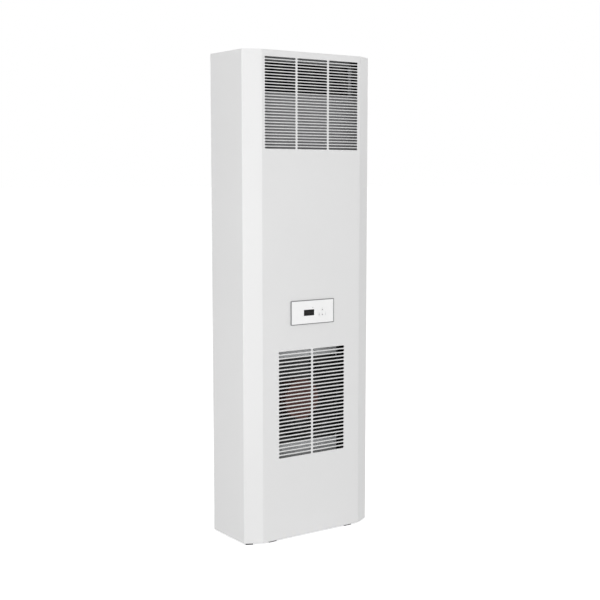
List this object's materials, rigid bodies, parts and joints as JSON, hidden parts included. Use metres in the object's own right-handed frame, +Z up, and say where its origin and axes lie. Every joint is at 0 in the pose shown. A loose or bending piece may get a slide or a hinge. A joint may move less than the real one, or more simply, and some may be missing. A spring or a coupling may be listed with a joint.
{
  "type": "enclosure air conditioner",
  "caption": "Slim upright cabinet-wall air conditioner: slotted sheet hood over compressor, coils and fans, with a control panel and sealed rear air openings.",
  "frame": {"origin": "middle of the footprint, at the underside of the feet", "axes": "+Z up along the height, -Y towards the grilles and control panel, +Y into the cabinet wall, +X to the right seen from the front"},
  "size_m": [0.485, 0.2213, 1.538],
  "materials": {
    "hood_paint": "light grey powder coat, fine orange peel",
    "zinc_sheet": "galvanised sheet, dull",
    "plated_steel": "zinc plated",
    "dark_rubber": "matte",
    "seal_foam": "closed-cell foam, matte",
    "fan_black": "black moulded, satin",
    "rotor_brown": "reddish-brown lacquer",
    "coil_black": "black coated fins",
    "fin_aluminium": "thin rolled sheet",
    "copper": "bare copper, slightly dulled",
    "compressor_black": "black enamel",
    "tub_black": "black textured coating, matte",
    "baffle_grey": "mid grey coating, matte",
    "tray_plastic": "dark grey moulded",
    "board_green": "solder mask",
    "grey_plastic": "grey moulded",
    "overlay_white": "white film, satin",
    "window_black": "black gloss",
    "motor_dark": "dark grey enamel",
    "cap_metal": "drawn can"
  },
  "bodies": {
    "chassis": {"front_cover": "hood_paint", "rear_chassis": "zinc_sheet", "base_pan": "zinc_sheet", "rubber_feet": "dark_rubber", "rear_gasket": "seal_foam", "fixing_nuts": "plated_steel", "lifting_nuts": "plated_steel", "cover_screws": "plated_steel", "evaporator_housing": "tub_black", "exhaust_baffle": "baffle_grey", "fan_plate": "zinc_sheet", "condenser_fan_housing": "fan_black", "condenser_fan_motor": "motor_dark", "condenser_fan_screws": "plated_steel", "condenser_fins": "coil_black", "condenser_end_plates": "zinc_sheet", "condenser_tubes": "coil_black", "evaporator_fins": "fin_aluminium", "evaporator_end_plates": "zinc_sheet", "evaporator_tubes": "copper", "evaporator_fan_motor": "motor_dark", "inlet_nozzle": "zinc_sheet", "condensate_tray": "tray_plastic", "drain_pipe": "dark_rubber", "drain_spigot": "tray_plastic", "compressor": "compressor_black", "compressor_base": "compressor_black", "compressor_grommets": "dark_rubber", "compressor_bolts": "plated_steel", "terminal_cover": "fan_black", "suction_accumulator": "compressor_black", "accumulator_bracket": "compressor_black", "filter_drier": "copper", "drier_clip": "zinc_sheet", "capillary_tube": "copper", "discharge_pipe": "copper", "liquid_pipe": "copper", "suction_pipe": "copper", "control_box": "zinc_sheet", "control_box_lid": "zinc_sheet", "control_board": "board_green", "run_capacitor": "cap_metal", "terminal_block": "grey_plastic", "cable_grommet": "dark_rubber", "display_frame": "grey_plastic", "display_overlay": "overlay_white", "display_window": "window_black", "display_board": "board_green", "display_module": "window_black", "key_switches": "plated_steel"},
    "condenser_fan_rotor": {"condenser_fan_impeller": "rotor_brown"},
    "evaporator_fan_rotor": {"evaporator_fan_impeller": "fan_black"},
    "key_up_body": {"key_up": "overlay_white"},
    "key_down_body": {"key_down": "overlay_white"},
    "key_left_body": {"key_left": "overlay_white"},
    "key_right_body": {"key_right": "overlay_white"}
  },
  "joints": [
    {"name": "condenser_fan_spin", "type": "hinge", "parent": "chassis", "child": "condenser_fan_rotor", "pos_m": [0, -0.0235, 0.436], "axis": [0, 1, 0], "continuous": true},
    {"name": "evaporator_fan_spin", "type": "hinge", "parent": "chassis", "child": "evaporator_fan_rotor", "pos_m": [0, 0.0325, 1.33911], "axis": [0, 1, 0], "continuous": true},
    {"name": "key_up_press", "type": "slide", "parent": "chassis", "child": "key_up_body", "axis": [0, 1, 0], "range_m": [0, 0.0005], "stiffness_N_per_m": 400},
    {"name": "key_down_press", "type": "slide", "parent": "chassis", "child": "key_down_body", "axis": [0, 1, 0], "range_m": [0, 0.0005], "stiffness_N_per_m": 400},
    {"name": "key_left_press", "type": "slide", "parent": "chassis", "child": "key_left_body", "axis": [0, 1, 0], "range_m": [0, 0.0005], "stiffness_N_per_m": 400},
    {"name": "key_right_press", "type": "slide", "parent": "chassis", "child": "key_right_body", "axis": [0, 1, 0], "range_m": [0, 0.0005], "stiffness_N_per_m": 400}
  ]
}
